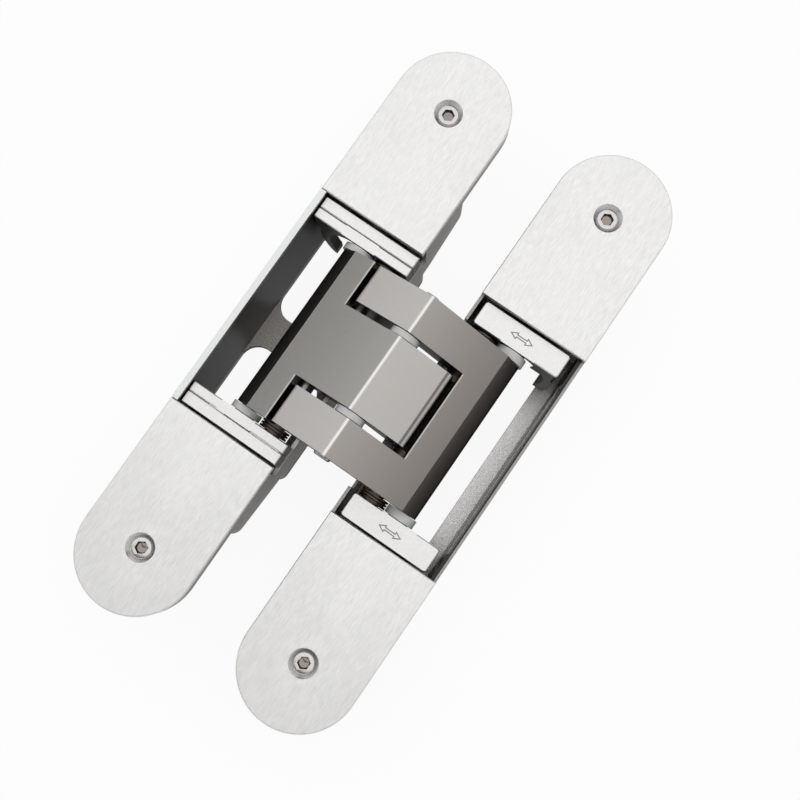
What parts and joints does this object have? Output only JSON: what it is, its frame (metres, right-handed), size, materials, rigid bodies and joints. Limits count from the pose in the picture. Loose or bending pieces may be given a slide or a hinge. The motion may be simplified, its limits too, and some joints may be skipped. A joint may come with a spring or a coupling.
{
  "type": "concealed door hinge",
  "caption": "Concealed hinge for a flush door, laid open: a casing for the frame and one for the door, joined by two crossing cast arms, with screw-clamped adjusters under flat cover plates.",
  "frame": {"origin": "middle of the plane of the casing backs, midway between the two leaves and midway along them", "axes": "+X across from the frame leaf to the door leaf, +Y along the leaves, +Z out of the cover faces"},
  "size_m": [0.077, 0.1616, 0.041],
  "materials": {
    "cast_casing": "cast, matt grey paint",
    "brushed_cover": "satin, fine brushed grain along the leaf",
    "satin_arm": "satin nickel, smooth",
    "satin_block": "satin silver plate",
    "turned_steel": "turned",
    "white_washer": "pale grey bearing plastic",
    "bronze_bush": "turned bronze",
    "screw_steel": "bright machine screw"
  },
  "bodies": {
    "frame_leaf": {"frame_casing": "cast_casing", "frame_cover_upper": "brushed_cover", "frame_cover_lower": "brushed_cover", "frame_cover_screws": "screw_steel", "frame_clamp_screws": "screw_steel"},
    "frame_height": {"frame_height_block_upper": "satin_block", "frame_height_block_lower": "satin_block"},
    "frame_depth": {"frame_depth_plate_upper": "satin_block", "frame_depth_plate_lower": "satin_block", "frame_pivot_pin": "turned_steel", "frame_pivot_bushes": "bronze_bush", "frame_depth_screws": "screw_steel"},
    "c_arm": {"c_arm": "satin_arm", "centre_pin": "turned_steel", "centre_washers": "white_washer", "c_arm_slide_pin": "turned_steel", "c_arm_slide_rollers": "white_washer"},
    "t_arm": {"t_arm": "satin_arm", "t_arm_slide_pin": "turned_steel", "t_arm_slide_rollers": "white_washer"},
    "door_blocks": {"door_side_block_upper": "satin_block", "door_side_block_lower": "satin_block", "door_pivot_pin": "turned_steel", "door_pivot_bushes": "bronze_bush", "door_pivot_sleeves": "bronze_bush"},
    "door_leaf": {"door_casing": "cast_casing", "door_cover_upper": "brushed_cover", "door_cover_lower": "brushed_cover", "door_cover_screws": "screw_steel", "door_clamp_screws": "screw_steel"}
  },
  "joints": [
    {"name": "frame_height_slide", "type": "slide", "parent": "frame_leaf", "child": "frame_height", "axis": [0, 1, 0], "range_m": [-0.0015, 0.0015]},
    {"name": "frame_depth_slide", "type": "slide", "parent": "frame_height", "child": "frame_depth", "axis": [0, 0, 1], "range_m": [-0.001, 0.001]},
    {"name": "frame_fold", "type": "hinge", "parent": "frame_depth", "child": "c_arm", "pos_m": [-0.0147, 0, 0.0231], "axis": [0, -1, 0], "range_deg": [0, 109.01]},
    {"name": "arm_fold", "type": "hinge", "parent": "c_arm", "child": "t_arm", "pos_m": [0, 0, 0.0366], "axis": [0, -1, 0], "range_deg": [-38.03, 0]},
    {"name": "door_fold", "type": "hinge", "parent": "t_arm", "child": "door_blocks", "pos_m": [0.0147, 0, 0.0231], "axis": [0, -1, 0], "range_deg": [0, 109.02]},
    {"name": "door_side_slide", "type": "slide", "parent": "door_blocks", "child": "door_leaf", "axis": [1, 0, 0], "range_m": [-0.001, 0.001]}
  ],
  "couplings": [
    {"joint": "arm_fold", "follows": "frame_fold", "ratio": -0.34882},
    {"joint": "door_fold", "follows": "frame_fold", "ratio": 1}
  ]
}
